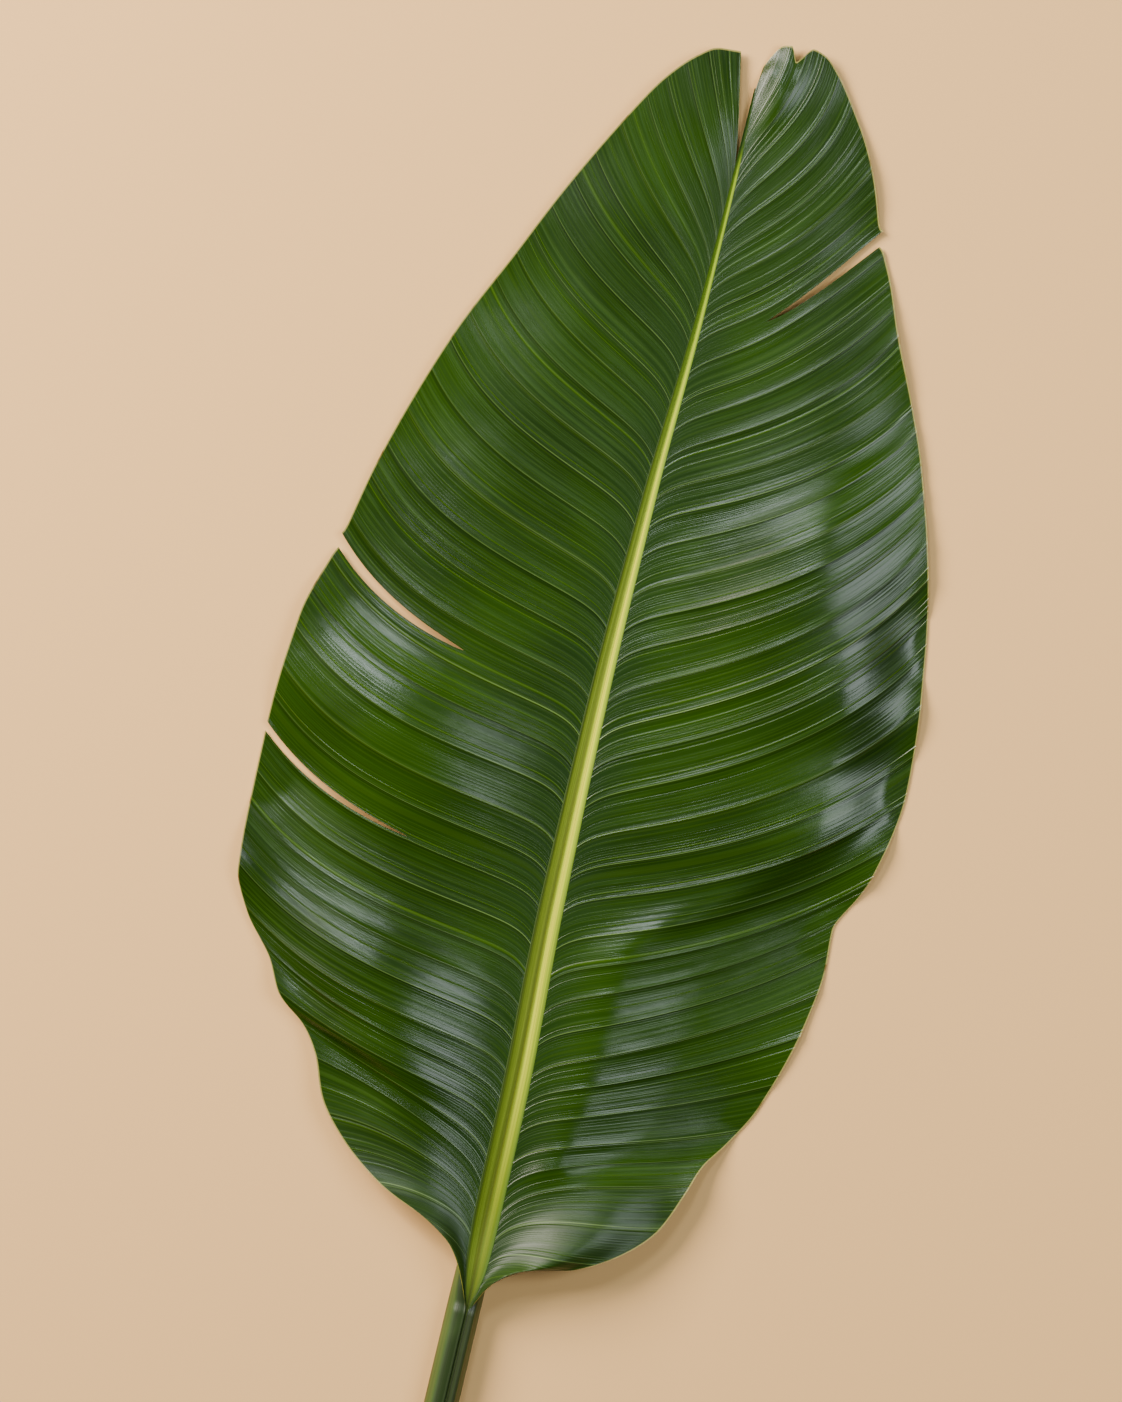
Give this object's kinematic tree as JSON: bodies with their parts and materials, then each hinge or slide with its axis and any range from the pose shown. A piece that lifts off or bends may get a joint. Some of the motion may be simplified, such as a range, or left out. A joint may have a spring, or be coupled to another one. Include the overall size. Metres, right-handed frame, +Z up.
{
  "type": "giant bird of paradise leaf",
  "caption": "Large paddle-shaped tropical leaf, cut with its stalk and lying face up, with a channelled midrib, pleated side veins, wavy margins, a split tip and small wind tears.",
  "frame": {"origin": "middle of the leaf's bounding box, on the surface that it lies on", "axes": "+Y along the midrib from the cut stalk to the tip, +X across the blade's right half seen from above, +Z up out of the leaf's upper face"},
  "size_m": [0.353, 0.9598, 0.0283],
  "materials": {
    "leaf_blade": "satin waxy fresh leaf"
  },
  "bodies": {
    "root": {"leaf": "leaf_blade"}
  },
  "joints": []
}
